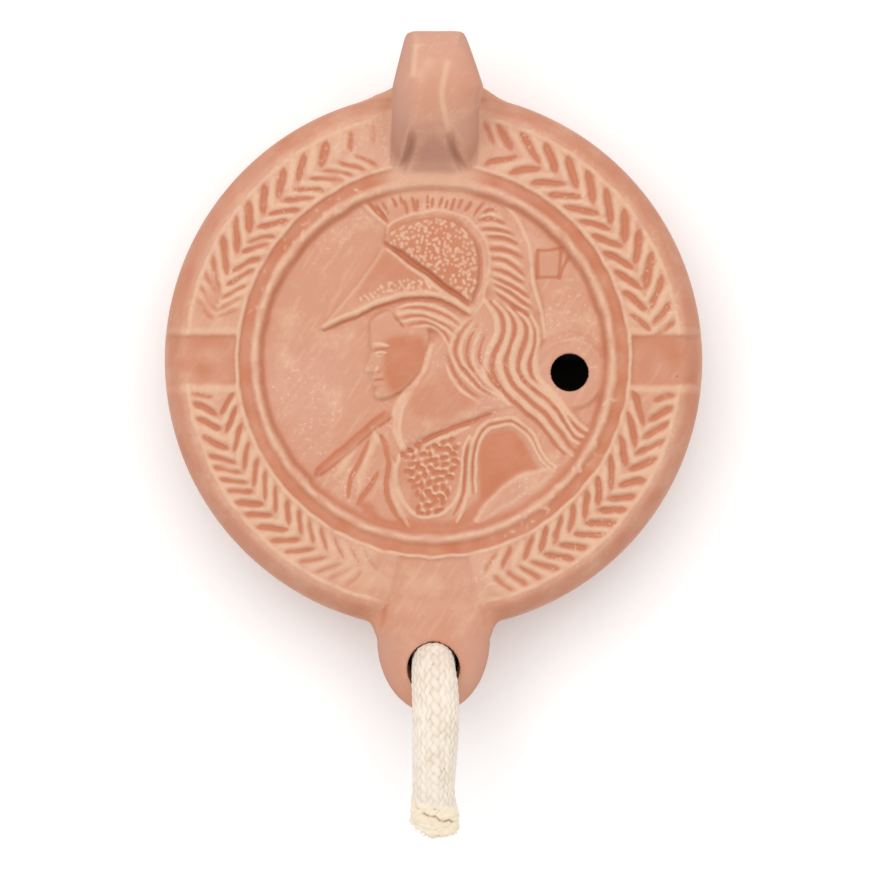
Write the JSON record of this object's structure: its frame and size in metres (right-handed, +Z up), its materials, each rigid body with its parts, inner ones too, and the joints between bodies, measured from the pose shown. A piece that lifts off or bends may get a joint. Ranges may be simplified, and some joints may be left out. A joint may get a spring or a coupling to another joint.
{
  "type": "clay oil lamp",
  "caption": "Round moulded clay oil lamp with a helmeted bust in relief on its disc, a leaf wreath round the rim, a short nozzle with its cotton wick and a pierced handle.",
  "frame": {"origin": "centre of the flat base's underside, under the middle of the disc", "axes": "+Z up through the disc, +Y towards the handle, -Y towards the nozzle, +X to the right of the figure as seen from above"},
  "size_m": [0.092, 0.1367, 0.0399],
  "materials": {
    "terracotta": "matt fired clay",
    "cotton": "braided undyed cotton"
  },
  "bodies": {
    "root": {"lamp_body": "terracotta", "wick": "cotton"}
  },
  "joints": []
}
